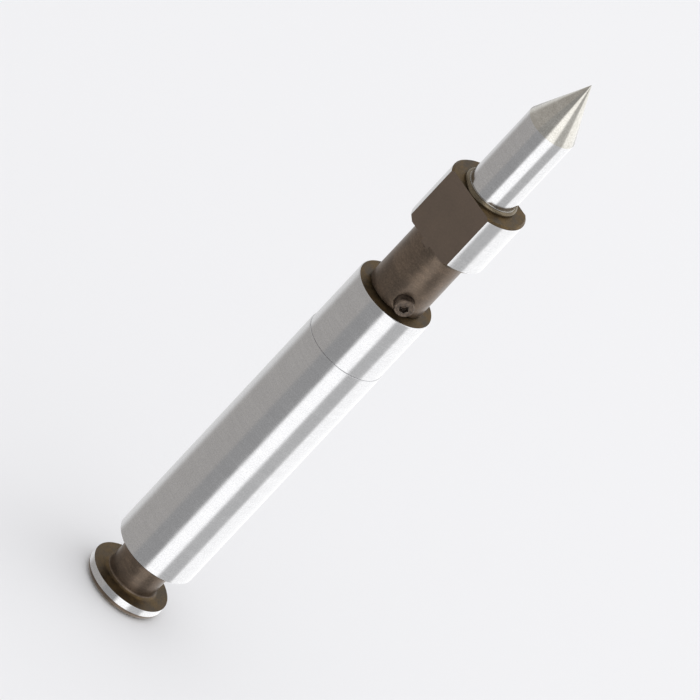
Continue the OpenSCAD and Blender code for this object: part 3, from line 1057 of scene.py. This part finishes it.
INNER_FINISHES = {
    "bearing_steel": Finish.POLISHED,
    "spring_steel": Finish.SPRING,
    "brass_cage": Finish.BRASS,
    "rubber": Finish.RUBBER,
    "black_screw": Finish.SCREW,
}


def dress_inner_pieces(frame: dict, finishes: dict[Finish, Material]) -> None:
    """Dresses the CAD nodes whose record slot has an inner finish, and keeps their shapes.

    Args:
        finishes: The material of each finish.
    """
    for row in frame["record"]["subparts"]:
        finish = INNER_FINISHES.get(row["material_slot"])
        if finish is None:
            continue
        for slot in frame["nodes"][row["node"]].material_slots:
            slot.material = finishes[finish]
        log.info("dressed %s in %s", row["node"], finish.name.lower())


# Studio


@dataclass(frozen=True)
class SoftPanel:
    """One upright soft light of a plain studio, or a grey flag that holds light off.

    Attributes:
        name: What the light is for.
        bearing: Its middle, in degrees round the part from the camera, where 90 is the camera's right.
        width: How much of the horizon it takes, in degrees.
        level: Brightness, where 1 is white.
        edge: Width over which it fades, in degrees.
    """

    name: str
    bearing: float
    width: float
    level: float
    edge: float = 10.0

    def mask(self, tree: Tree, bearing: Socket) -> Socket:
        """How much of the panel is seen at a bearing.

        Args:
            tree: The world's node tree.
            bearing: Bearing in degrees from the camera, from -180 to 180.

        Returns:
            1 inside the panel, 0 outside it.
        """
        away = tree.math("SUBTRACT", bearing, self.bearing)
        wrapped = tree.math("WRAP", away, 180.0, -180.0)
        half = self.width / 2
        return tree.span(tree.math("ABSOLUTE", wrapped), half, half + self.edge, 1, 0)


@dataclass
class Studio:
    """Pale floor, soft light and the camera. Lengths are in metres and angles in degrees.

    Attributes:
        azimuth: Way the camera looks from, where 0 looks along +Y.
        elevation: Height of the camera above the horizon.
        roll: Turn of the camera about its own axis.
        distance: Distance from the camera to its target.
        depth: How far the camera sees.
        target_height: Height of the target on the part's axis.
        target_shift: Sideways distance of the target from the axis.
        lens: Focal length, in millimetres.
        sensor: Width of the camera's sensor, in millimetres.
        pale: Colour of the surroundings that light matt surfaces.
        room: Colour of the unlit room that metal mirrors.
        panels: The soft lights, where a later one stands in front of an earlier one.
        floor_size: Side of the floor.
        floor_drop: How far it lies under the part.
        floor_color: Its colour.
        floor_roughness: Its roughness.
        floor_shine: Strength of its reflections.
        shadow_bearing: Bearing of the light that throws the shadow.
        shadow_reach: Its distance from the axis.
        shadow_height: Its height.
        shadow_size: Its width.
        shadow_energy: Its power, in watts.
    """

    azimuth: float = 23.7
    elevation: float = 28.6
    roll: float = 43.14
    distance: float = 3.0
    depth: float = 50.0
    target_height: float = 0.0820
    target_shift: float = 0.0010
    lens: float = 713.4
    sensor: float = 36.0
    pale: Color = (1.05, 1.05, 1.06)
    room: Color = (0.46, 0.445, 0.43)
    panels: tuple[SoftPanel, ...] = (
        SoftPanel("flag", bearing=-12, width=36, level=0.38),
        SoftPanel("fill", bearing=65, width=40, level=0.6),
        SoftPanel("back", bearing=135, width=80, level=1.3),
        SoftPanel("rim", bearing=-155, width=30, level=0.8, edge=30),
        SoftPanel("key", bearing=30, width=28, level=1.4),
    )
    floor_size: float = 8.0
    floor_drop: float = 0.1 * MM
    floor_color: Color = (0.79, 0.79, 0.80)
    floor_roughness: float = 0.9
    floor_shine: float = 0.1
    shadow_bearing: float = 125.0
    shadow_reach: float = 0.8
    shadow_height: float = 1.0
    shadow_size: float = 0.9
    shadow_energy: float = 1.7

    def build(self) -> None:
        """Makes the floor, the light and the camera."""
        self.floor()
        self.surroundings()
        self.shadow_light()
        self.camera()

    def back(self) -> Vector:
        """Direction from the target to the camera."""
        a, e = math.radians(self.azimuth), math.radians(self.elevation)
        return Vector((math.sin(a) * math.cos(e), -math.cos(a) * math.cos(e), math.sin(e)))

    def camera(self) -> None:
        """A long lens, rolled about its own axis."""
        data = bpy.data.cameras.new("camera")
        data.sensor_width = self.sensor
        data.lens = self.lens
        data.clip_end = self.depth
        camera = bpy.data.objects.new("camera", data)
        bpy.context.scene.collection.objects.link(camera)
        a = math.radians(self.azimuth)
        right = Vector((math.cos(a), math.sin(a), 0))
        target = Vector((0, 0, self.target_height)) + right * self.target_shift
        turn = self.back().to_track_quat("Z", "Y").to_matrix().to_4x4()
        roll = Matrix.Rotation(math.radians(self.roll), 4, "Z")
        camera.matrix_world = Matrix.Translation(target + self.back() * self.distance) @ turn @ roll
        bpy.context.scene.camera = camera

    def floor(self) -> None:
        """A wide pale floor just under the part, which polished metal doesn't mirror."""
        deselect_all()
        bpy.ops.mesh.primitive_plane_add(size=self.floor_size, location=(0, 0, -self.floor_drop))
        floor = bpy.context.object
        floor.name = "floor"
        floor.visible_glossy = False
        material = bpy.data.materials.new("Pale floor")
        material.use_nodes = True
        shader = material.node_tree.nodes["Principled BSDF"]
        shader.inputs["Base Color"].default_value = (*self.floor_color, 1)
        shader.inputs["Roughness"].default_value = self.floor_roughness
        shader.inputs["Specular IOR Level"].default_value = self.floor_shine
        floor.data.materials.append(material)

    def shadow_light(self) -> None:
        """A large soft light behind the part's right side, for a soft shadow."""
        data = bpy.data.lights.new("shadow light", "AREA")
        data.shape = "DISK"
        data.size = self.shadow_size
        data.energy = self.shadow_energy
        light = bpy.data.objects.new("shadow light", data)
        bpy.context.scene.collection.objects.link(light)
        a, reach = math.radians(self.azimuth + self.shadow_bearing), self.shadow_reach
        place = Vector((math.sin(a) * reach, -math.cos(a) * reach, self.shadow_height))
        aim = place.to_track_quat("Z", "Y").to_matrix().to_4x4()
        light.matrix_world = Matrix.Translation(place) @ aim
        light.visible_glossy = False

    def surroundings(self) -> None:
        """Even white light for matt surfaces, and a room with soft panels for metal to mirror."""
        world = bpy.data.worlds.new("studio")
        bpy.context.scene.world = world
        world.use_nodes = True
        world.node_tree.nodes.clear()
        tree = Tree(world.node_tree)
        parts = tree.add("ShaderNodeSeparateXYZ")
        tree.join(tree.add("ShaderNodeTexCoord").outputs["Generated"], parts.inputs[0])
        around = tree.math("ARCTAN2", parts.outputs[1], parts.outputs[0])
        turned = tree.math("MULTIPLY", around, math.degrees(1))
        bearing = tree.math("ADD", turned, 90 - self.azimuth)
        room = self.room
        for panel in self.panels:
            room = tree.blend(panel.mask(tree, bearing), room, (panel.level,) * 3)
            log.info("placed the %s panel", panel.name)
        mirror = tree.feed(tree.add("ShaderNodeBackground"), Color=room, Strength=1.0)
        even = tree.feed(tree.add("ShaderNodeBackground"), Color=(*self.pale, 1), Strength=1.0)
        rays = tree.add("ShaderNodeLightPath")
        mix = tree.add("ShaderNodeMixShader")
        shown = (rays.outputs["Is Glossy Ray"], even.outputs[0], mirror.outputs[0])
        for source, target in zip(shown, mix.inputs):
            tree.join(source, target)
        tree.feed(tree.add("ShaderNodeOutputWorld"), Surface=mix.outputs[0])


def main() -> None:
    """Builds the looks in order."""
    logging.basicConfig(level=logging.INFO, format="%(name)s: %(message)s")
    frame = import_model()
    Studio().build()
    log.info("studio ready")
    shelf = EffectShelf()
    finishes = {finish: finish.value.build(shelf) for finish in Finish}
    for group in (Housing(), SpindleGroup()):
        for piece in group.build(finishes):
            log.info("made %s with %d faces", piece.name, len(piece.data.polygons))
    dress_inner_pieces(frame, finishes)
    bpy.context.scene.view_settings.view_transform = "Standard"


if __name__ == "__main__":
    main()
